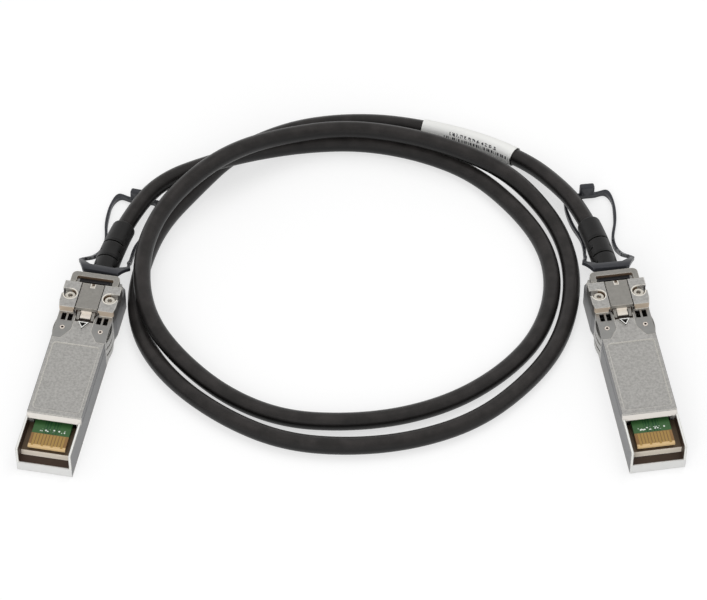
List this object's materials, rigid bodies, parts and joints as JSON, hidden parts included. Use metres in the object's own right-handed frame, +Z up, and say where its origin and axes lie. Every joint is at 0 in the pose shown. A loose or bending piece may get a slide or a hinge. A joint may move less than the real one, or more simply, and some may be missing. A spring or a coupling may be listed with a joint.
{
  "type": "direct attach copper cable",
  "caption": "Coiled round copper cable with a pluggable metal transceiver plug on each end, each with a contact card, latch, bail and plastic pull tab.",
  "frame": {"origin": "middle of the two plugs' and pull tabs' footprint, on the surface they lie on", "axes": "+X across both plugs, +Y from the plugs' noses towards the cord, +Z up from the surface"},
  "size_m": [0.1607, 0.1201, 0.013],
  "materials": {
    "cast_shell": "satin nickel-plated zinc die-casting",
    "card_green": "green solder mask, bare tan edge between the contacts",
    "gold_pads": "gold-plated copper contacts",
    "chip_black": "moulded epoxy",
    "pair_foil": "foil-shielded twinaxial pair",
    "ferrule_metal": "crimped sleeve",
    "spring_steel": "thin nickel-plated spring sheet",
    "screw_steel": "bright plated screw",
    "cast_slider": "satin plated casting, a little darker than the shell",
    "boot_rubber": "matte moulded elastomer",
    "tab_plastic": "satin blue-grey nylon",
    "cord_jacket": "soft satin jacket",
    "label_paper": "white wrap label"
  },
  "bodies": {
    "cable_assembly": {"cable": "cord_jacket", "cable_label": "label_paper", "left_top_shell": "cast_shell", "left_bottom_shell": "cast_shell", "left_paddle_card": "card_green", "left_contact_pads": "gold_pads", "left_memory_chip": "chip_black", "left_wire_pairs": "pair_foil", "left_crimp_ferrule": "ferrule_metal", "left_spring_collar": "spring_steel", "left_housing_screws": "screw_steel", "left_strain_relief": "boot_rubber", "right_top_shell": "cast_shell", "right_bottom_shell": "cast_shell", "right_paddle_card": "card_green", "right_contact_pads": "gold_pads", "right_memory_chip": "chip_black", "right_wire_pairs": "pair_foil", "right_crimp_ferrule": "ferrule_metal", "right_spring_collar": "spring_steel", "right_housing_screws": "screw_steel", "right_strain_relief": "boot_rubber"},
    "left_release": {"left_release_slider": "cast_slider", "left_pull_tab": "tab_plastic"},
    "right_release": {"right_release_slider": "cast_slider", "right_pull_tab": "tab_plastic"}
  },
  "joints": [
    {"name": "left_release_slide", "type": "slide", "parent": "cable_assembly", "child": "left_release", "axis": [0.184, 0.9829, 0], "range_m": [0, 0.0018], "stiffness_N_per_m": 250},
    {"name": "right_release_slide", "type": "slide", "parent": "cable_assembly", "child": "right_release", "axis": [-0.1513, 0.9885, 0], "range_m": [0, 0.0018], "stiffness_N_per_m": 250}
  ]
}
